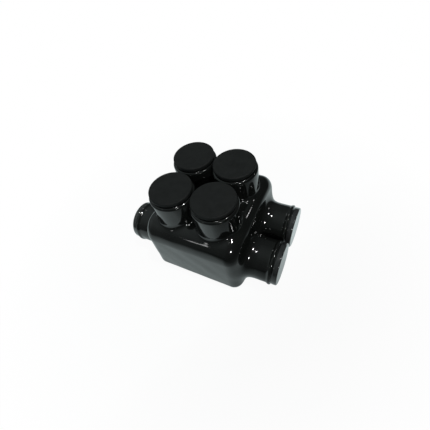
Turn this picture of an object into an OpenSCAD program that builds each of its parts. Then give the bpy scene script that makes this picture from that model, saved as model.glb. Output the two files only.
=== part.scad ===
// Insulated splice connector for two pairs of wires, with a screw port and a
// wire port at each of its four clamping points. Millimetres.
// X runs along the wires, Y across the two channels and Z up.
// The origin is the centre of the flat base.

/* [Layout] */
// Distance between the two screw ports of one channel
port_pitch_x = 32; // [31:0.5:36]
// Distance between the two wire channels
port_pitch_y = 33.6; // [33.6:0.2:38]

/* [Connector block] */
// Length of the block along the wires
block_len = 67; // [66:1:90]
// Width of the block across the channels
block_wid = 74; // [72:1:100]
// Height of the block
block_ht = 46.5; // [46:0.5:56]
// Radius of the two long top edges
block_top_r = 11; // [8:0.5:12]
// Radius of the two long bottom edges
block_bottom_r = 4; // [2:0.5:8]
// Diameter of a wire bore
wire_bore_d = 24; // [22:0.5:25]
// Metal left under a wire bore
bore_floor = 5.4; // [4.4:0.1:7]
// Chamfer at each mouth of a wire bore
bore_chamfer = 1; // [0.5:0.1:2]

/* [Set screws] */
// Diameter of a set screw
screw_d = 15.88; // [12:0.02:16]
// Length of a set screw
screw_len = 22; // [20:0.5:23]
// Play between a set screw and its hole, on the radius
screw_clear = 0.06; // [0.03:0.01:0.1]
// Distance from the top of the wire bore to a backed-out screw
screw_back = 0.4; // [0.3:0.1:1.5]
// Chamfer of the point of a set screw
screw_point = 1.6; // [0.6:0.1:2.5]
// Width of the hex socket across its flats
hex_af = 7.94; // [6:0.02:8.5]
// Depth of the hex socket
hex_depth = 9; // [7:0.5:11]

/* [Jacket] */
// Thickness of the jacket over the block
jacket_wall = 4; // [3:0.5:6]
// Radius of the upper and the upright edges at each end of the jacket
jacket_end_r = 9; // [4:0.5:9.5]
// Radius of the lower edge at each end of the jacket
jacket_sole_r = 4; // [1.5:0.5:5]
// Gap between the jacket and the block
seat_gap = 0.05; // [0.02:0.01:0.1]

/* [Screw sleeves] */
// Inside diameter of a screw sleeve
screw_sleeve_bore = 26; // [23:0.5:26]
// Wall of a screw sleeve, thick enough for neighbouring sleeves to run into each other
screw_sleeve_wall = 3.2; // [3.1:0.1:3.6]
// Height of a screw sleeve above the jacket
screw_sleeve_ht = 19; // [15:0.5:24]
// Radius of the flare at the foot of a screw sleeve
screw_root_r = 12; // [11:0.5:16]
// Height above the jacket at which that flare starts
screw_root_ht = 4; // [2:0.5:4.5]
// Depth to which it runs down over the rounded shoulders
screw_root_sunk = 4; // [3.6:0.1:4.4]
// Rounding of a screw sleeve's mouth
screw_mouth_r = 1.8; // [0.5:0.1:2]

/* [Wire sleeves] */
// Inside diameter of a wire sleeve
wire_sleeve_bore = 26; // [25.5:0.5:27]
// Wall of a wire sleeve
wire_sleeve_wall = 2.9; // [2:0.1:3]
// Length of a wire sleeve beyond the jacket
wire_sleeve_len = 20; // [17:0.5:32]
// Radius of the flare at the root of a wire sleeve
wire_root_r = 6.5; // [1.5:0.1:7]
// Depth by which that flare runs into the end of the jacket
root_bite = 0.4; // [0.1:0.1:0.8]
// Width of the bead around the mouth of a wire sleeve
lip_wid = 3; // [2:0.5:5]
// Height of the bead above the wire sleeve
lip_proud = 0.8; // [0.4:0.1:0.8]
// Rounding of a wire sleeve's mouth
wire_mouth_r = 0.8; // [0.3:0.1:1]

/* [Plugs] */
// Diameter of a screw plug's cap
screw_cap_d = 30; // [30:0.2:31.6]
// Thickness of a screw plug's cap
screw_cap_t = 2.9; // [2.2:0.1:4]
// Diameter of a wire plug's cap
wire_cap_d = 31.4; // [30:0.2:32.6]
// Thickness of a wire plug's cap
wire_cap_t = 4; // [2.4:0.1:5]
// Rounding of a cap's rim
cap_edge_r = 0.9; // [0.4:0.1:1]
// Gap between a screw plug's cap and its sleeve
screw_cap_gap = 0.9; // [0.5:0.1:2]
// Gap between a wire plug's cap and its sleeve
wire_cap_gap = 0.5; // [0.3:0.1:2]
// Width of the plug's shoulder on the sleeve's mouth
shoulder_wid = 1; // [0.6:0.1:1]
// Length of a plug's skirt inside the sleeve
skirt_len = 9; // [7:0.5:10]
// Wall of a plug's skirt
skirt_wall = 1.8; // [1.2:0.1:2.5]
// Height of the two ribs around a skirt
rib_ht = 0.5; // [0.3:0.1:0.8]
// Play between a plug's ribs and the sleeve, on the radius
plug_clear = 0.08; // [0.04:0.01:0.1]

/* [Hidden] */
$fn = 96;
left = -1;
right = 1;
front = -1;
rear = 1;
eps = 0.01;

jacket_len = block_len + 2 * jacket_wall;
jacket_wid = block_wid + 2 * jacket_wall;
jacket_ht = block_ht + 2 * jacket_wall;
wire_z = jacket_wall + bore_floor + wire_bore_d / 2;
block_top = jacket_wall + block_ht;
shoulder_r = block_top_r + jacket_wall;
shoulder_y = jacket_wid / 2 - shoulder_r;
shoulder_z = jacket_ht - shoulder_r;
screw_hole_r = screw_d / 2 + screw_clear;
screw_z = wire_z + wire_bore_d / 2 + screw_back;
screw_mouth_z = jacket_ht + screw_sleeve_ht;
wire_mouth_x = jacket_len / 2 + wire_sleeve_len;
screw_sleeve_r = screw_sleeve_bore / 2 + screw_sleeve_wall;
wire_sleeve_r = wire_sleeve_bore / 2 + wire_sleeve_wall;
wire_root_ht = wire_root_r - root_bite;
wire_root_under = root_bite / 4;
wire_root_reach = wire_root_r - sqrt(wire_root_r ^ 2 - (wire_root_ht + wire_root_under) ^ 2);
wire_root_sunk = jacket_wall - 1;

// Outline of a bar's end, standing on the line y = 0
module bar_outline(wid, ht, top_r, bottom_r) {
    translate([-wid / 2, bottom_r])
        square([wid, ht - top_r - bottom_r]);
    translate([-wid / 2 + top_r, ht - top_r - eps])
        square([wid - 2 * top_r, top_r + eps]);
    translate([-wid / 2 + bottom_r, 0])
        square([wid - 2 * bottom_r, bottom_r + eps]);
    for (side = [left, right]) {
        translate([side * (wid / 2 - top_r), ht - top_r])
            circle(r = top_r);
        translate([side * (wid / 2 - bottom_r), bottom_r])
            circle(r = bottom_r);
    }
}

// Bar along X, standing on z = 0
module bar(len, wid, ht, top_r, bottom_r) {
    translate([-len / 2, 0, 0])
        rotate([90, 0, 90])
            linear_extrude(height = len)
                bar_outline(wid, ht, top_r, bottom_r);
}

// Places its child at each of the four clamping points, at mid height zero
module at_screw_ports() {
    for (side = [left, right])
        for (row = [front, rear])
            translate([side * port_pitch_x / 2, row * port_pitch_y / 2, 0])
                children();
}

// Half outline of a closed sleeve with a flare at its foot: the foot is the
// line y = 0, the flare starts at root_ht and spreads by reach, and the
// sleeve is solid, for its bore to be cut later
module sleeve_half(r, ht, mouth_r, root_r, root_ht, reach, sunk) {
    translate([0, -sunk])
        square([r, ht - mouth_r + sunk]);
    square([r - mouth_r, ht]);
    translate([r - mouth_r, ht - mouth_r])
        circle(r = mouth_r);
    difference() {
        translate([r - eps, -sunk])
            square([reach + eps, root_ht + sunk]);
        translate([r + root_r, root_ht])
            circle(r = root_r);
    }
}

module screw_sleeve() {
    rotate_extrude()
        sleeve_half(screw_sleeve_r, screw_sleeve_ht, screw_mouth_r,
            screw_root_r, screw_root_ht, screw_root_r, screw_root_sunk);
}

module wire_sleeve() {
    lip_r = wire_sleeve_r + lip_proud;
    rotate_extrude() {
        sleeve_half(wire_sleeve_r, wire_sleeve_len, wire_mouth_r,
            wire_root_r, wire_root_ht, wire_root_reach, wire_root_sunk);
        translate([0, wire_sleeve_len - lip_wid + lip_proud])
            square([lip_r, lip_wid - lip_proud - wire_mouth_r]);
        translate([lip_r - wire_mouth_r, wire_sleeve_len - wire_mouth_r])
            circle(r = wire_mouth_r);
        translate([0, wire_sleeve_len - wire_mouth_r - eps])
            square([lip_r - wire_mouth_r, wire_mouth_r + eps]);
        translate([wire_sleeve_r, wire_sleeve_len - lip_wid + lip_proud])
            circle(r = lip_proud);
    }
}

// Quarter of the space around the axis of one long shoulder, upward and outward
module shoulder_space(row) {
    out = shoulder_r + 1;
    translate([-jacket_len / 2 - 1, row > 0 ? shoulder_y : -shoulder_y - out, shoulder_z])
        cube([jacket_len + 2, out, out]);
}

// Long rounded shoulder, turned about its axis so that its ends are rounded too
module shoulder(row) {
    intersection() {
        translate([-jacket_len / 2, row * shoulder_y, shoulder_z])
            rotate([0, 90, 0])
                rotate_extrude()
                    intersection() {
                        bar_outline(2 * shoulder_r, jacket_len, jacket_end_r, jacket_end_r);
                        square([shoulder_r, jacket_len]);
                    }
        shoulder_space(row);
    }
}

// Jacket before its cavity and its bores are cut
module jacket_blank() {
    difference() {
        intersection() {
            bar(jacket_len, jacket_wid, jacket_ht, shoulder_r, block_bottom_r + jacket_wall);
            linear_extrude(height = jacket_ht)
                translate([0, -jacket_wid / 2])
                    bar_outline(jacket_len, jacket_wid, jacket_end_r, jacket_end_r);
            translate([0, jacket_wid / 2, 0])
                rotate([90, 0, 0])
                    linear_extrude(height = jacket_wid)
                        bar_outline(jacket_len, jacket_ht, jacket_end_r, jacket_sole_r);
        }
        for (row = [front, rear])
            shoulder_space(row);
    }
    for (row = [front, rear])
        shoulder(row);
    translate([0, 0, jacket_ht])
        at_screw_ports()
            screw_sleeve();
    for (side = [left, right])
        for (row = [front, rear])
            translate([side * jacket_len / 2, row * port_pitch_y / 2, wire_z])
                rotate([0, side * 90, 0])
                    wire_sleeve();
}

module jacket() {
    color([0.03, 0.03, 0.03])
        difference() {
            jacket_blank();
            translate([0, 0, jacket_wall - seat_gap])
                bar(block_len + 2 * seat_gap, block_wid + 2 * seat_gap, block_ht + 2 * seat_gap,
                    block_top_r + seat_gap, block_bottom_r + seat_gap);
            translate([0, 0, block_top - block_top_r])
                at_screw_ports()
                    cylinder(h = screw_mouth_z, d = screw_sleeve_bore);
            for (row = [front, rear])
                translate([-wire_mouth_x - 1, row * port_pitch_y / 2, wire_z])
                    rotate([0, 90, 0])
                        cylinder(h = 2 * wire_mouth_x + 2, d = wire_sleeve_bore);
        }
}

module block() {
    color([0.72, 0.73, 0.74])
        difference() {
            translate([0, 0, jacket_wall])
                bar(block_len, block_wid, block_ht, block_top_r, block_bottom_r);
            for (row = [front, rear])
                translate([0, row * port_pitch_y / 2, wire_z])
                    rotate([0, 90, 0]) {
                        cylinder(h = block_len + 2, d = wire_bore_d, center = true);
                        for (side = [left, right])
                            translate([0, 0, side * (block_len / 2 - bore_chamfer / 2 + eps / 2)])
                                mouth_cone(side);
                    }
            translate([0, 0, wire_z])
                at_screw_ports()
                    cylinder(h = block_ht, r = screw_hole_r);
        }
}

// Chamfer cone at one mouth of a wire bore
module mouth_cone(side) {
    inner_r = wire_bore_d / 2;
    outer_r = inner_r + bore_chamfer;
    cylinder(h = bore_chamfer + eps, r1 = side > 0 ? inner_r : outer_r,
        r2 = side > 0 ? outer_r : inner_r, center = true);
}

module set_screw(side, row) {
    r = screw_d / 2;
    edge = 0.6;
    color([0.6, 0.61, 0.62])
        translate([side * port_pitch_x / 2, row * port_pitch_y / 2, screw_z])
            difference() {
                rotate_extrude()
                    polygon([
                        [0, 0],
                        [r - screw_point, 0],
                        [r, screw_point],
                        [r, screw_len - edge],
                        [r - edge, screw_len],
                        [0, screw_len]
                    ]);
                translate([0, 0, screw_len - hex_depth])
                    cylinder(h = hex_depth + 1, d = hex_af / cos(30), $fn = 6);
                translate([0, 0, screw_len - edge])
                    cylinder(h = edge + eps, r1 = hex_af / 2, r2 = hex_af / 2 + edge + eps);
            }
}

// Plug on the mouth plane of its sleeve, cap outward along +Z
module plug(cap_d, cap_t, cap_gap, sleeve_bore) {
    skirt_r = sleeve_bore / 2 - plug_clear - rib_ht;
    cap_r = cap_d / 2;
    rib_inset = 2;
    rotate_extrude() {
        translate([0, cap_gap + cap_edge_r])
            square([cap_r, cap_t - 2 * cap_edge_r]);
        translate([0, cap_gap])
            square([cap_r - cap_edge_r, cap_t]);
        for (y = [cap_gap + cap_edge_r, cap_gap + cap_t - cap_edge_r])
            translate([cap_r - cap_edge_r, y])
                circle(r = cap_edge_r);
        square([sleeve_bore / 2 + shoulder_wid, cap_gap + eps]);
        translate([skirt_r - skirt_wall, -skirt_len])
            square([skirt_wall, skirt_len + eps]);
        for (y = [-rib_inset, -skirt_len + rib_inset])
            translate([skirt_r, y])
                intersection() {
                    circle(r = rib_ht);
                    translate([-eps, -rib_ht])
                        square([rib_ht + eps, 2 * rib_ht]);
                }
    }
}

module screw_plug(side, row) {
    color([0.09, 0.09, 0.09])
        translate([side * port_pitch_x / 2, row * port_pitch_y / 2, screw_mouth_z])
            plug(screw_cap_d, screw_cap_t, screw_cap_gap, screw_sleeve_bore);
}

module wire_plug(side, row) {
    color([0.11, 0.11, 0.11])
        translate([side * wire_mouth_x, row * port_pitch_y / 2, wire_z])
            rotate([0, side * 90, 0])
                plug(wire_cap_d, wire_cap_t, wire_cap_gap, wire_sleeve_bore);
}

jacket();
block();
set_screw(left, front);  // set_screw_front_left
set_screw(right, front);  // set_screw_front_right
set_screw(left, rear);  // set_screw_rear_left
set_screw(right, rear);  // set_screw_rear_right
screw_plug(left, front);  // screw_plug_front_left
screw_plug(right, front);  // screw_plug_front_right
screw_plug(left, rear);  // screw_plug_rear_left
screw_plug(right, rear);  // screw_plug_rear_right
wire_plug(left, front);  // wire_plug_front_left
wire_plug(right, front);  // wire_plug_front_right
wire_plug(left, rear);  // wire_plug_rear_left
wire_plug(right, rear);  // wire_plug_rear_right
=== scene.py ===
"""Looks of the insulated splice connector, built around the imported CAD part. Metres, in the CAD frame."""
from math import acos, cos, degrees, pi, radians, sin

import bmesh
import bpy
import numpy as np
from mathutils import Matrix, Vector


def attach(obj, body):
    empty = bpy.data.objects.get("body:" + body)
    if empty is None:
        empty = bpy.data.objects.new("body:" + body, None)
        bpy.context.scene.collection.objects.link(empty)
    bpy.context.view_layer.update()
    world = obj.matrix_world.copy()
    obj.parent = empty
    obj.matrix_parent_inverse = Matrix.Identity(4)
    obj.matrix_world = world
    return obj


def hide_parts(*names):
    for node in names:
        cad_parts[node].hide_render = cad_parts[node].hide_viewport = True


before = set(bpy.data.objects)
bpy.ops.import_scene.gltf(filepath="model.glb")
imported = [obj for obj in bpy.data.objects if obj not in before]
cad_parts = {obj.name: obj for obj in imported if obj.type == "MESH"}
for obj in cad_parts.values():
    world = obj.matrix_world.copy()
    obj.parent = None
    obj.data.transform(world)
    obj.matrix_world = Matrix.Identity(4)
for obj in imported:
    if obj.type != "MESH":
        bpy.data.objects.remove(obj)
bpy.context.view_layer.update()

MM = 0.001
SIDES = {"left": -1, "right": 1}
ROWS = {"front": -1, "rear": 1}

# Sizes of the CAD part in millimetres
PORT_X = 16.0
PORT_Y = 16.8
WIRE_Z = 21.4
BODY_HALF_X = 37.5
BODY_HALF_Y = 41.0
BODY_TOP_Z = 54.5
BLOCK_END_X = 33.5
BLOCK_TOP_Z = 50.5
SCREW_SLEEVE_R = 16.2
SCREW_BORE_R = 13.0
SCREW_MOUTH_Z = 73.5
WIRE_SLEEVE_R = 15.9
WIRE_BORE_R = 13.0
WIRE_MOUTH_X = 57.5
LIP_PROUD = 0.8
LIP_WIDTH = 3.0
SCREW_CAP_D = 30.0
SCREW_CAP_T = 2.9
SCREW_CAP_GAP = 0.9
WIRE_CAP_D = 31.4
WIRE_CAP_T = 4.0
WIRE_CAP_GAP = 0.5
CAP_EDGE_R = 0.9
CAP_SHOULDER = 1.0
SKIRT_LENGTH = 9.0
SKIRT_WALL = 1.8
RIB_HEIGHT = 0.5
RIB_INSET = 2.0
PLUG_PLAY = 0.08


# Scene helpers

def link(piece):
    bpy.context.scene.collection.objects.link(piece)
    return piece


def mesh_object(name, points, faces, normals, material):
    """Smooth mesh from points in millimetres, with one normal for each point."""
    mesh = bpy.data.meshes.new(name)
    mesh.from_pydata((np.asarray(points) * MM).tolist(), [], [tuple(f) for f in faces])
    mesh.polygons.foreach_set("use_smooth", [True] * len(mesh.polygons))
    mesh.normals_split_custom_set_from_vertices([tuple(n) for n in normals])
    mesh.materials.append(material)
    mesh.update()
    return link(bpy.data.objects.new(name, mesh))


# Procedural materials

class Nodes:
    """Short calls for the shader nodes of one material."""

    def __init__(self, name):
        self.material = bpy.data.materials.new(name)
        self.material.use_nodes = True
        self.tree = self.material.node_tree
        self.shader = self.tree.nodes["Principled BSDF"]
        self.place = self.add("ShaderNodeTexCoord").outputs["Object"]

    def add(self, kind, **values):
        node = self.tree.nodes.new(kind)
        for key, value in values.items():
            setattr(node, key, value)
        return node

    def join(self, start, end):
        self.tree.links.new(start, end)

    def stretched(self, scale):
        """Place, scaled by its own factor along each axis."""
        mapping = self.add("ShaderNodeMapping")
        mapping.inputs["Scale"].default_value = scale
        self.join(self.place, mapping.inputs["Vector"])
        return mapping.outputs["Vector"]

    def noise(self, scale, detail=3.0, roughness=0.5, vector=None):
        node = self.add("ShaderNodeTexNoise")
        node.inputs["Scale"].default_value = scale
        node.inputs["Detail"].default_value = detail
        node.inputs["Roughness"].default_value = roughness
        self.join(vector or self.place, node.inputs["Vector"])
        return node.outputs["Fac"]

    def spread(self, value, low, high, start=0.3, end=0.7):
        """Value that runs from low to high where the input runs from start to end."""
        node = self.add("ShaderNodeMapRange")
        for key, number in (("From Min", start), ("From Max", end), ("To Min", low), ("To Max", high)):
            node.inputs[key].default_value = number
        self.join(value, node.inputs["Value"])
        return node.outputs["Result"]

    def ramp(self, value, stops):
        node = self.add("ShaderNodeValToRGB")
        elements = node.color_ramp.elements
        while len(elements) < len(stops):
            elements.new(0.5)
        for element, (position, colour) in zip(elements, stops):
            element.position = position
            element.color = (*colour, 1.0)
        self.join(value, node.inputs["Fac"])
        return node.outputs["Color"]

    def bump(self, value, distance, under=None):
        node = self.add("ShaderNodeBump")
        node.inputs["Distance"].default_value = distance
        self.join(value, node.inputs["Height"])
        if under:
            self.join(under, node.inputs["Normal"])
        return node.outputs["Normal"]

    def finish(self, colour, roughness, normal, **constants):
        """The material, with constants set on the shader's sockets. An underscore stands for a space."""
        self.join(colour, self.shader.inputs["Base Color"])
        self.join(roughness, self.shader.inputs["Roughness"])
        self.join(normal, self.shader.inputs["Normal"])
        for key, value in constants.items():
            self.shader.inputs[key.replace("_", " ")].default_value = value
        return self.material


def plastisol():
    """Glossy dip-moulded jacket: near black, with a faint orange peel and handling haze."""
    n = Nodes("plastisol_black")
    colour = n.ramp(n.noise(60.0), [(0.3, (0.0045, 0.0052, 0.0048)), (0.7, (0.0075, 0.0083, 0.0077))])
    haze = n.spread(n.noise(45.0, detail=4.0, roughness=0.6), 0.05, 0.15, 0.35, 0.75)
    ripple = n.bump(n.noise(110.0, detail=1.0), 0.00006)
    peel = n.bump(n.noise(850.0, detail=2.0), 0.000004, under=ripple)
    return n.finish(colour, haze, peel, IOR=1.53)


def matte_cap():
    """Fine-grained matte plastic of the screw plugs."""
    n = Nodes("cap_matte_black")
    colour = n.ramp(n.noise(170.0, detail=5.0, roughness=0.7),
                    [(0.3, (0.0075, 0.0088, 0.0085)), (0.75, (0.013, 0.0148, 0.0143))])
    rough = n.spread(n.noise(90.0, detail=4.0), 0.62, 0.78)
    grain = n.bump(n.noise(2600.0, detail=2.0), 0.00002)
    cloud = n.bump(n.noise(220.0), 0.00003, under=grain)
    return n.finish(colour, rough, cloud, Specular_IOR_Level=0.18)


def satin_cap():
    """Smooth moulded skin of the wire plugs, which goes pale at a low angle."""
    n = Nodes("cap_satin_black")
    colour = n.ramp(n.noise(140.0, detail=4.0),
                    [(0.3, (0.014, 0.015, 0.015)), (0.7, (0.024, 0.026, 0.026))])
    rough = n.spread(n.noise(120.0, detail=4.0), 0.1, 0.16)
    grain = n.bump(n.noise(300.0, detail=2.0), 0.000004)
    return n.finish(colour, rough, grain, Coat_Weight=1.0, Coat_Roughness=0.06)


def plated_bar():
    """Tin-plated extruded aluminium, with drawn lines along X."""
    n = Nodes("block_tin_plated")
    lines = n.noise(1.0, detail=4.0, roughness=0.65, vector=n.stretched((35.0, 1500.0, 1500.0)))
    colour = n.ramp(n.noise(160.0, detail=4.0), [(0.3, (0.56, 0.57, 0.58)), (0.7, (0.72, 0.73, 0.735))])
    rough = n.spread(lines, 0.24, 0.42)
    drawn = n.bump(lines, 0.00002)
    return n.finish(colour, rough, drawn, Metallic=1.0)


def turned_screw():
    """Tin-plated set screw, with fine turning marks."""
    n = Nodes("set_screw_tin_plated")
    marks = n.noise(1.0, detail=3.0, roughness=0.6, vector=n.stretched((120.0, 120.0, 2600.0)))
    colour = n.ramp(n.noise(260.0, detail=4.0), [(0.3, (0.42, 0.43, 0.44)), (0.7, (0.6, 0.61, 0.62))])
    rough = n.spread(marks, 0.22, 0.4)
    return n.finish(colour, rough, n.bump(marks, 0.000012), Metallic=1.0)


# Jacket: one smooth skin, blended from a rounded body and eight sleeves, and eight lathed sleeve ends

# Roundings, blends and waves in millimetres
SHOULDER_R = 15.0
BOTTOM_R = 8.0
END_R = 9.0
SOLE_END_R = 7.5
END_R_RISE = 20.0
SCREW_BLEND = 4.0
WIRE_BLEND = 12.0
SLEEVE_BLEND = 3.0
LEAST_WEB = 0.5
WEB_RISE = 8.0
LONG_WAVE = 0.05
SHORT_WAVE = 0.03
WAVE_FADE = 5.0
SCREW_MOUTH_R = 1.8
WIRE_MOUTH_R = 0.9
BORE_MOUTH_R = 0.4
LIP_BEAD_R = 2.0
LIP_HOLLOW_R = 3.0

# The skin's grid, where it ends and the lathed sleeve ends start, and how the two meet
SKIN_STEP = 0.9
GRID_PARTS = 16
SETTLE_STEPS = 4
SKIN_TOP_Z = 64.0
SKIN_END_X = 46.2
OVERLAP = 1.0
SEAM = 0.012
SEAT = 0.02
SEGMENTS = 112
CRISP_ANGLE = 30.0

# Distance in millimetres that stands for nothing near
FAR = 1000.0


def smooth_min(a, b, reach):
    """Lower of two distances, rounded where they differ by less than reach."""
    near = np.maximum(reach - np.abs(a - b), 0.0) / reach
    return np.minimum(a, b) - near ** 3 * reach / 6.0


def rounded(a, b, r):
    """Distance to the space inside two faces that meet in an edge rounded to r. The two values given are
    the distances to the faces, each with r added."""
    return np.minimum(np.maximum(a, b), 0) + np.hypot(np.maximum(a, 0), np.maximum(b, 0)) - r


def body_distance(p):
    """Distance to a bar along X with rounded long edges, cut to length by rounded ends. These get sharper
    at the sole."""
    x, y, z = np.abs(p[:, 0]), np.abs(p[:, 1]), p[:, 2]
    mid = BODY_TOP_Z / 2
    r = np.where(z > mid, SHOULDER_R, BOTTOM_R)
    over_y = y - BODY_HALF_Y + r
    over_z = np.abs(z - mid) - mid + r
    bar = rounded(over_y, over_z, r)
    rise = np.clip(z / END_R_RISE, 0, 1)
    edge = SOLE_END_R + (END_R - SOLE_END_R) * rise * rise * (3 - 2 * rise)
    return rounded(bar + edge, x - BODY_HALF_X + edge, edge)


def unevenness(p):
    """Slow waves of a dip-moulded wall, 17 to 48 mm long, fading out towards the sleeve ends."""
    x, y, z = p.T
    waves = (LONG_WAVE * np.sin(0.21 * x + 0.4 * np.sin(0.13 * y) + 0.7) * np.cos(0.24 * y - 0.19 * z)
             + SHORT_WAVE * np.sin(0.37 * z + 0.29 * x - 1.1) * np.sin(0.33 * y + 2.0))
    from_ends = np.minimum(SKIN_TOP_Z - z, SKIN_END_X - np.abs(x))
    return waves * np.clip((from_ends - OVERLAP) / WAVE_FADE, 0.0, 1.0)


def skin_distance(p):
    """Signed distance in millimetres, about true near the surface, to the outside of the whole jacket."""
    x, y, z = p.T
    screws = np.full(len(p), FAR)
    wires = np.full(len(p), FAR)
    web = LEAST_WEB + SLEEVE_BLEND * np.clip((SKIN_TOP_Z - z) / WEB_RISE, 0, 1)
    for row in ROWS.values():
        for side in SIDES.values():
            post = np.hypot(x - side * PORT_X, y - row * PORT_Y) - SCREW_SLEEVE_R
            screws = smooth_min(screws, post, web)
        tube = np.hypot(y - row * PORT_Y, z - WIRE_Z) - WIRE_SLEEVE_R
        wires = smooth_min(wires, tube, SLEEVE_BLEND)
    screws = np.maximum(screws, BODY_TOP_Z / 2 - z)
    wires = np.maximum(wires, BODY_HALF_X / 2 - np.abs(x))
    solid = smooth_min(body_distance(p), screws, SCREW_BLEND)
    solid = smooth_min(solid, wires, WIRE_BLEND) + unevenness(p)
    return np.maximum(solid, -z)


def slope(field, p, reach=0.02):
    """Unit gradient of a distance at each point."""
    steps = np.eye(3) * reach
    g = np.stack([field(p + s) - field(p - s) for s in steps], 1)
    return g / np.linalg.norm(g, axis=1, keepdims=True)


def surface_net(field, low, high, step):
    """Points near the zero surface of field, one for each grid cell that it crosses, and the quads
    between them."""
    axes = [np.arange(low[i], high[i] + step, step) for i in range(3)]
    shape = tuple(len(a) for a in axes)
    grid = np.stack(np.meshgrid(*axes, indexing="ij"), -1)
    value = np.concatenate([field(part) for part in np.array_split(grid.reshape(-1, 3), GRID_PARTS)])
    value = value.reshape(shape)
    cells = tuple(s - 1 for s in shape)
    total = np.zeros(cells + (3,))
    count = np.zeros(cells)
    crossings = []
    for axis in range(3):
        ahead = tuple(slice(1, None) if i == axis else slice(None) for i in range(3))
        behind = tuple(slice(None, -1) if i == axis else slice(None) for i in range(3))
        v0, v1 = value[behind], value[ahead]
        crossed = (v0 < 0) != (v1 < 0)
        share = np.where(crossed, v0 / np.where(crossed, v0 - v1, 1.0), 0.0)
        point = grid[behind].copy()
        point[..., axis] += share * step
        crossings.append((crossed, v0 < 0))
        b, c = [i for i in range(3) if i != axis]
        for db in (0, 1):
            for dc in (0, 1):
                part = [slice(None)] * 3
                part[b] = slice(db, db + cells[b])
                part[c] = slice(dc, dc + cells[c])
                hit = crossed[tuple(part)]
                total += np.where(hit[..., None], point[tuple(part)], 0.0)
                count += hit
    used = count > 0
    number = np.full(cells, -1)
    number[used] = np.arange(used.sum())
    points = total[used] / count[used][:, None]
    quads = []
    for axis, (crossed, starts_inside) in enumerate(crossings):
        b, c = [i for i in range(3) if i != axis]
        middle = [slice(None)] * 3
        middle[b] = middle[c] = slice(1, -1)
        at = np.argwhere(crossed[tuple(middle)])
        at[:, b] += 1
        at[:, c] += 1
        kept = starts_inside[tuple(at.T)] != (axis == 1)
        ring = []
        for db, dc in ((1, 1), (0, 1), (0, 0), (1, 0)):
            cell = at.copy()
            cell[:, b] -= db
            cell[:, c] -= dc
            ring.append(number[tuple(cell.T)])
        ring = np.stack(ring, 1)
        ring[~kept] = ring[~kept][:, ::-1]
        quads.append(ring)
    return points, np.concatenate(quads)


def jacket_skin():
    """Points and quads of the blended skin, moved onto its surface."""
    low = (-SKIN_END_X - SKIN_STEP, -BODY_HALF_Y - 2 * SKIN_STEP, -2 * SKIN_STEP)
    high = (SKIN_END_X + SKIN_STEP, BODY_HALF_Y + 2 * SKIN_STEP, SKIN_TOP_Z + SKIN_STEP)
    points, quads = surface_net(skin_distance, low, high, SKIN_STEP)
    for _ in range(SETTLE_STEPS):
        points = points - slope(skin_distance, points) * skin_distance(points)[:, None]
    return points, quads


def cut_skin(points, quads):
    """Cuts the skin square at the sleeves, so that each ends in one clean ring."""
    mesh = bpy.data.meshes.new("cut")
    mesh.from_pydata(points.tolist(), [], quads.tolist())
    work = bmesh.new()
    work.from_mesh(mesh)
    ends = (((0, 0, SKIN_TOP_Z), (0, 0, 1)),
            ((SKIN_END_X, 0, 0), (1, 0, 0)),
            ((-SKIN_END_X, 0, 0), (-1, 0, 0)))
    for co, no in ends:
        everything = list(work.verts) + list(work.edges) + list(work.faces)
        bmesh.ops.bisect_plane(work, geom=everything, plane_co=co, plane_no=no, clear_outer=True)
    work.verts.ensure_lookup_table()
    work.verts.index_update()
    points = np.array([v.co[:] for v in work.verts])
    faces = [tuple(v.index for v in f.verts) for f in work.faces]
    work.free()
    bpy.data.meshes.remove(mesh)
    return points, faces


def lathe(profile):
    """Points, faces and normals of a profile of (radius, height) turned about Z. Normals point to its
    left. At a corner of more than CRISP_ANGLE the points are there twice, so that it stays crisp."""
    profile = np.array(profile, float)
    chord = np.diff(profile, axis=0)
    length = np.linalg.norm(chord, axis=1)
    left = np.stack([-chord[:, 1], chord[:, 0]], 1) / length[:, None]
    turn = np.linspace(0, 2 * pi, SEGMENTS, endpoint=False)
    points, normals, rings = [], [], []

    def ring(place, facing):
        around = turn if place[0] > 0 else turn[:1]
        rings.append(range(len(points), len(points) + len(around)))
        for a in around:
            points.append((place[0] * cos(a), place[0] * sin(a), place[1]))
            out = facing[0] if place[0] > 0 else 0
            normals.append((out * cos(a), out * sin(a), facing[1]))
        return len(rings) - 1

    faces = []
    last = ring(profile[0], left[0])
    for i, place in enumerate(profile[1:]):
        ahead = left[min(i + 1, len(left) - 1)]
        crisp = left[i] @ ahead < cos(radians(CRISP_ANGLE))
        mean = left[i] * length[i] + ahead * length[min(i + 1, len(left) - 1)]
        here = ring(place, left[i] if crisp else mean / np.linalg.norm(mean))
        a, b = rings[last], rings[here]
        for s in range(SEGMENTS):
            t = (s + 1) % SEGMENTS
            corners = (a[s % len(a)], b[s % len(b)], b[t % len(b)], a[t % len(a)])
            faces.append(tuple(dict.fromkeys(corners)))
        last = ring(place, ahead) if crisp else here
    return np.array(points), faces, np.array(normals)


def arc(centre, radius, start, end, steps):
    """Points of an arc, angles in degrees from the first axis."""
    angles = np.radians(np.linspace(start, end, steps + 1))
    return [(centre[0] + radius * cos(a), centre[1] + radius * sin(a)) for a in angles]


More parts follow.
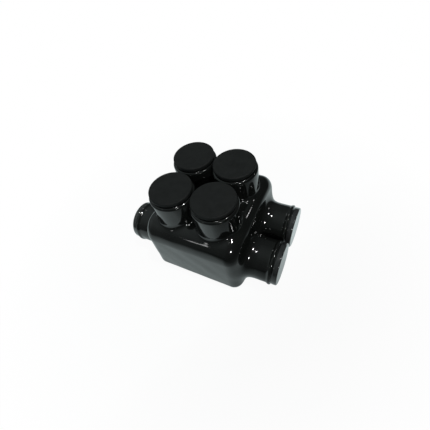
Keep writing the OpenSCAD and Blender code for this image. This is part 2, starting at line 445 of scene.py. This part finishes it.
def sleeve_end(bore_r, sleeve_r, foot, mouth, cut, rounding, lip=0.0):
    """Profile of a sleeve's end: up the bore from foot, round the mouth and down the outside."""
    inner = BORE_MOUTH_R
    out_r = sleeve_r + lip
    profile = [(bore_r, foot), (bore_r, (foot + mouth) / 2)]
    profile += arc((bore_r + inner, mouth - inner), inner, 180, 90, 4)
    profile += arc((out_r - rounding, mouth - rounding), rounding, 90, 0, 6)
    if lip:
        bead, hollow = LIP_BEAD_R, LIP_HOLLOW_R
        lean = degrees(acos(1 - lip / (bead + hollow)))
        bead_z = mouth - LIP_WIDTH + bead
        foot_z = bead_z - (bead + hollow) * sin(radians(lean))
        profile += arc((out_r - bead, bead_z), bead, 0, -lean, 5)
        profile += arc((sleeve_r + hollow, foot_z), hollow, 180 - lean, 180, 6)[1:]
    profile += [(sleeve_r, (mouth + cut) / 2), (sleeve_r + SEAM, cut), (sleeve_r + SEAM, cut - OVERLAP)]
    return profile


def turned_to(side):
    """Rotation, for points in rows, that lays a lathed shape along X, outward on that side."""
    return np.array(Matrix.Rotation(side * pi / 2, 3, "Y")).T


def placed(shape, offset, turn=None):
    """A lathed shape, turned and then moved."""
    points, faces, normals = shape
    if turn is not None:
        points, normals = points @ turn, normals @ turn
    return points + offset, faces, normals


def jacket(material):
    """The skin and its sleeve ends as one object."""
    points, faces = cut_skin(*jacket_skin())
    normals = slope(skin_distance, points)
    upright = lathe(sleeve_end(SCREW_BORE_R, SCREW_SLEEVE_R, BLOCK_TOP_Z + SEAT, SCREW_MOUTH_Z,
                               SKIN_TOP_Z, SCREW_MOUTH_R))
    lying = lathe(sleeve_end(WIRE_BORE_R, WIRE_SLEEVE_R, BLOCK_END_X + SEAT, WIRE_MOUTH_X,
                             SKIN_END_X, WIRE_MOUTH_R, LIP_PROUD))
    parts = [(points, faces, normals)]
    for side in SIDES.values():
        for row in ROWS.values():
            parts.append(placed(upright, (side * PORT_X, row * PORT_Y, 0)))
            parts.append(placed(lying, (0, row * PORT_Y, WIRE_Z), turned_to(side)))
    faces = []
    count = 0
    for part_points, part_faces, _ in parts:
        faces += [tuple(i + count for i in face) for face in part_faces]
        count += len(part_points)
    points, normals = (np.concatenate([part[i] for part in parts]) for i in (0, 2))
    return mesh_object("jacket_skin", points, faces, normals, material)


# Plugs, lathed

SCREW_CAP_DISH = 0.08
WIRE_CAP_DISH = 0.1
SKIRT_CHAMFER = 0.3
DISH_CURVE = ((0.0, 1.0), (0.45, 0.85), (0.7, 0.4), (0.85, 0.1))


def plug_profile(cap_d, cap_t, gap, bore_r, dish):
    """Profile of a plug: over the dished cap, round its edge, down the ribbed skirt and up inside."""
    top, rim, edge = gap + cap_t, cap_d / 2, CAP_EDGE_R
    skirt_r = bore_r - PLUG_PLAY - RIB_HEIGHT
    inside_r = skirt_r - SKIRT_WALL
    shoulder_r = bore_r + CAP_SHOULDER
    chamfer = SKIRT_CHAMFER
    profile = [(rim * out, top - dish * depth) for out, depth in DISH_CURVE]
    profile += arc((rim - edge, top - edge), edge, 90, 0, 7)
    profile += arc((rim - edge, gap + edge), edge, 0, -90, 5)
    profile += [(shoulder_r, gap), (shoulder_r, 0), (skirt_r, 0)]
    for z in (-RIB_INSET, RIB_INSET - SKIRT_LENGTH):
        profile += arc((skirt_r, z), RIB_HEIGHT, 90, -90, 6)
    profile += [(skirt_r, chamfer - SKIRT_LENGTH), (skirt_r - chamfer, -SKIRT_LENGTH)]
    profile += [(inside_r + chamfer, -SKIRT_LENGTH), (inside_r, chamfer - SKIRT_LENGTH)]
    profile += [(inside_r, 0), (0, 0)]
    return profile


def dress(piece, node, body=None):
    """Lets piece stand for a CAD node and move with its body, which has the node's name if none is given."""
    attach(piece, body or node)
    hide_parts(node)


def plugs(material_screw, material_wire):
    """One plug for each of the eight ports."""
    upright = lathe(plug_profile(SCREW_CAP_D, SCREW_CAP_T, SCREW_CAP_GAP, SCREW_BORE_R, SCREW_CAP_DISH))
    lying = lathe(plug_profile(WIRE_CAP_D, WIRE_CAP_T, WIRE_CAP_GAP, WIRE_BORE_R, WIRE_CAP_DISH))
    for side_name, side in SIDES.items():
        for row_name, row in ROWS.items():
            port = f"{row_name}_{side_name}"
            shape = placed(upright, (side * PORT_X, row * PORT_Y, SCREW_MOUTH_Z))
            piece = mesh_object(f"screw_plug_{port}_cap", *shape, material_screw)
            dress(piece, f"screw_plug_{port}")
            shape = placed(lying, (side * WIRE_MOUTH_X, row * PORT_Y, WIRE_Z), turned_to(side))
            piece = mesh_object(f"wire_plug_{port}_cap", *shape, material_wire)
            dress(piece, f"wire_plug_{port}")


# Studio

# Sun lamps: name, direction towards it, strength, and its width in degrees
LAMPS = (
    ("lamp_right_top", (0.36, 0.03, 0.93), 1.1, 3.0),
    ("lamp_right_rear", (0.56, 0.53, 0.64), 0.06, 3.0),
    ("lamp_right_front", (0.57, -0.64, 0.52), 0.8, 3.0),
    ("lamp_top", (0.02, -0.11, 0.99), 0.3, 3.0),
    ("lamp_left_rear", (-0.45, 0.42, 0.79), 0.08, 4.0),
    ("lamp_left_front", (-0.40, -0.81, 0.43), 0.02, 4.0),
)
WHITE = (1, 1, 1, 1)
COOL_RED = 0.88

# Levels of the sky, from the side that is turned away from SKY_SIDE to SKY_SIDE itself
SKY_SIDE = (-0.75, 0.0, 0.66)
SKY = ((0.0, 0.02), (0.5, 0.04), (0.8, 0.13), (1.0, 0.38))

# The floor in metres, and the levels of its colour, which is painted shade: a painted shadow towards one
# side, as far as the reach below, and painted falloff outwards
FLOOR_SIZE = 8.0
FLOOR_ROUGHNESS = 0.7
PAINTED_SHADOW_SIDE = (0.9, -0.45, 0.0)
PAINTED_SHADOW_REACH = 0.15
PAINTED_SHADOW_LEVELS = ((0.0, 1.0), (0.32, 0.95), (0.43, 0.55), (0.57, 0.3), (0.87, 0.05))
PAINTED_FALLOFF_EDGE = (0.14, 0.32)
PAINTED_FALLOFF_OUTSIDE = 0.12
PAINTED_SHADE_LEVELS = ((0.0, 0.03), (1.0, 0.82))
# Share of glossy rays that see the floor's painted shade as a glow, a painted reflection
PAINTED_GLOW_SHARE = 0.4

# Share of plain white that the camera sees near the object, rising to 1 over SHADOW_EDGE in metres
NEAR_WHITE = 0.95
SHADOW_EDGE = (0.1, 0.2)
THROUGH_WHITE = 0.93

# The photograph's camera, found by a fit, in millimetres and degrees. The clip distances are in metres
CAMERA_TARGET = (1.85, 0.0, 33.52)
CAMERA_AZIMUTH = 36.87
CAMERA_ELEVATION = 51.66
CAMERA_ROLL = -14.49
CAMERA_DISTANCE = 213.22
FOCAL_PIXELS = 268.17
FRAME_PIXELS = 430
SENSOR_WIDTH = 36.0
CLIP_NEAR = 0.005
CLIP_FAR = 50.0


def between(tree, value, low, high, start, end):
    """Value that runs from low to high where the input runs from start to end."""
    node = tree.nodes.new("ShaderNodeMapRange")
    for key, number in (("From Min", start), ("From Max", end), ("To Min", low), ("To Max", high)):
        node.inputs[key].default_value = number
    tree.links.new(value, node.inputs["Value"])
    return node.outputs["Result"]


def vector_math(tree, operation, vector, constant=None):
    """Number that a vector operation gives."""
    node = tree.nodes.new("ShaderNodeVectorMath")
    node.operation = operation
    tree.links.new(vector, node.inputs[0])
    if constant:
        node.inputs[1].default_value = constant
    return node.outputs["Value"]


def shade(tree, value, stops, red=COOL_RED):
    """Grey at the level that the stops give, slightly cool where red is below 1."""
    node = tree.nodes.new("ShaderNodeValToRGB")
    elements = node.color_ramp.elements
    while len(elements) < len(stops):
        elements.new(0.5)
    for element, (position, level) in zip(elements, stops):
        element.position = position
        element.color = (level * red, level, level, 1.0)
    tree.links.new(value, node.inputs["Fac"])
    return node.outputs["Color"]


def combine(tree, operation, one, two):
    """Result of a math operation on two values, each a number or a socket."""
    node = tree.nodes.new("ShaderNodeMath")
    node.operation = operation
    for end, value in zip(node.inputs, (one, two)):
        if isinstance(value, float):
            end.default_value = value
        else:
            tree.links.new(value, end)
    return node.outputs[0]


def floor_material():
    """White to the camera, with a soft shadow. The object mirrors its colour, which is painted shade: darker
    outwards as painted falloff, and darker to one side as a painted shadow."""
    material = bpy.data.materials.new("floor_white")
    material.use_nodes = True
    tree = material.node_tree
    place = tree.nodes.new("ShaderNodeTexCoord")
    distance = vector_math(tree, "LENGTH", place.outputs["Object"])
    aside = vector_math(tree, "DOT_PRODUCT", place.outputs["Object"], PAINTED_SHADOW_SIDE)
    # Painted shadow towards one side and painted falloff outwards, multiplied into the floor's colour
    painted_shadow = shade(tree, between(tree, aside, 0.0, 1.0, 0.0, PAINTED_SHADOW_REACH), PAINTED_SHADOW_LEVELS, 1.0)
    painted_falloff = between(tree, distance, 1.0, PAINTED_FALLOFF_OUTSIDE, *PAINTED_FALLOFF_EDGE)
    colour = shade(tree, combine(tree, "MULTIPLY", painted_shadow, painted_falloff), PAINTED_SHADE_LEVELS)
    matte = tree.nodes["Principled BSDF"]
    matte.inputs["Roughness"].default_value = FLOOR_ROUGHNESS
    matte.inputs["Specular IOR Level"].default_value = 0.0
    tree.links.new(colour, matte.inputs["Base Color"])
    # The floor glows with its painted shade to glossy rays: a painted reflection level
    painted_shade_glow = tree.nodes.new("ShaderNodeEmission")
    tree.links.new(colour, painted_shade_glow.inputs["Color"])
    white = tree.nodes.new("ShaderNodeEmission")
    white.inputs["Color"].default_value = WHITE
    path = tree.nodes.new("ShaderNodeLightPath")
    whiteness = between(tree, distance, NEAR_WHITE, 1.0, *SHADOW_EDGE)
    seen = combine(tree, "MULTIPLY", path.outputs["Is Camera Ray"], whiteness)
    through = combine(tree, "MULTIPLY", path.outputs["Is Transmission Ray"], THROUGH_WHITE)
    glossy = combine(tree, "MULTIPLY", path.outputs["Is Glossy Ray"], PAINTED_GLOW_SHARE)
    inner, outer = tree.nodes.new("ShaderNodeMixShader"), tree.nodes.new("ShaderNodeMixShader")
    tree.links.new(glossy, inner.inputs["Fac"])
    tree.links.new(matte.outputs["BSDF"], inner.inputs[1])
    tree.links.new(painted_shade_glow.outputs["Emission"], inner.inputs[2])
    tree.links.new(combine(tree, "MAXIMUM", seen, through), outer.inputs["Fac"])
    tree.links.new(inner.outputs["Shader"], outer.inputs[1])
    tree.links.new(white.outputs["Emission"], outer.inputs[2])
    tree.links.new(outer.outputs["Shader"], tree.nodes["Material Output"].inputs["Surface"])
    return material


def studio():
    """A floor that is white to the camera but painted with shade where the object mirrors it, a dim sky that
    is brighter on the left but white to the camera, and small lamps.
    """
    bpy.ops.mesh.primitive_plane_add(size=FLOOR_SIZE)
    floor = bpy.context.object
    floor.name = "floor"
    floor.data.materials.append(floor_material())

    world = bpy.data.worlds.new("studio")
    bpy.context.scene.world = world
    world.use_nodes = True
    sky = world.node_tree
    place = sky.nodes.new("ShaderNodeTexCoord")
    side = vector_math(sky, "DOT_PRODUCT", place.outputs["Generated"], SKY_SIDE)
    colour = shade(sky, between(sky, side, 0.0, 1.0, -1.0, 1.0), SKY)
    sky.links.new(colour, sky.nodes["Background"].inputs["Color"])
    backdrop, mix = sky.nodes.new("ShaderNodeBackground"), sky.nodes.new("ShaderNodeMixShader")
    backdrop.inputs["Color"].default_value = WHITE
    path = sky.nodes.new("ShaderNodeLightPath")
    seen = combine(sky, "MAXIMUM", path.outputs["Is Camera Ray"], path.outputs["Is Transmission Ray"])
    sky.links.new(seen, mix.inputs["Fac"])
    sky.links.new(sky.nodes["Background"].outputs["Background"], mix.inputs[1])
    sky.links.new(backdrop.outputs["Background"], mix.inputs[2])
    sky.links.new(mix.outputs["Shader"], sky.nodes["World Output"].inputs["Surface"])

    for name, toward, strength, spread in LAMPS:
        lamp = bpy.data.lights.new(name, "SUN")
        lamp.energy = strength
        lamp.angle = radians(spread)
        holder = link(bpy.data.objects.new(name, lamp))
        holder.rotation_euler = Vector(toward).to_track_quat("Z", "Y").to_euler()


def camera():
    """Camera at the photograph's place, with its roll and its square frame."""
    target = Vector(CAMERA_TARGET) * MM
    azimuth, elevation, roll = radians(CAMERA_AZIMUTH), radians(CAMERA_ELEVATION), radians(CAMERA_ROLL)
    back = Vector((sin(azimuth) * cos(elevation), -cos(azimuth) * cos(elevation), sin(elevation)))
    right = Vector((cos(azimuth), sin(azimuth), 0.0))
    up = back.cross(right)
    frame_right = right * cos(roll) + up * sin(roll)
    frame_up = up * cos(roll) - right * sin(roll)
    data = bpy.data.cameras.new("camera")
    data.sensor_width = SENSOR_WIDTH
    data.lens = FOCAL_PIXELS / FRAME_PIXELS * SENSOR_WIDTH
    data.clip_start = CLIP_NEAR
    data.clip_end = CLIP_FAR
    eye = link(bpy.data.objects.new("camera", data))
    turn = Matrix((frame_right, frame_up, back)).transposed().to_4x4()
    eye.matrix_world = Matrix.Translation(target + back * (CAMERA_DISTANCE * MM)) @ turn
    bpy.context.scene.camera = eye


# The whole scene

camera()
studio()
skin = jacket(plastisol())
dress(skin, "jacket", "connector")
plugs(matte_cap(), satin_cap())
metal, screw = plated_bar(), turned_screw()
for node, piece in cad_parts.items():
    if node == "block" or node.startswith("set_screw"):
        for slot in piece.material_slots:
            slot.material = metal if node == "block" else screw

bpy.context.scene.view_settings.view_transform = "Standard"
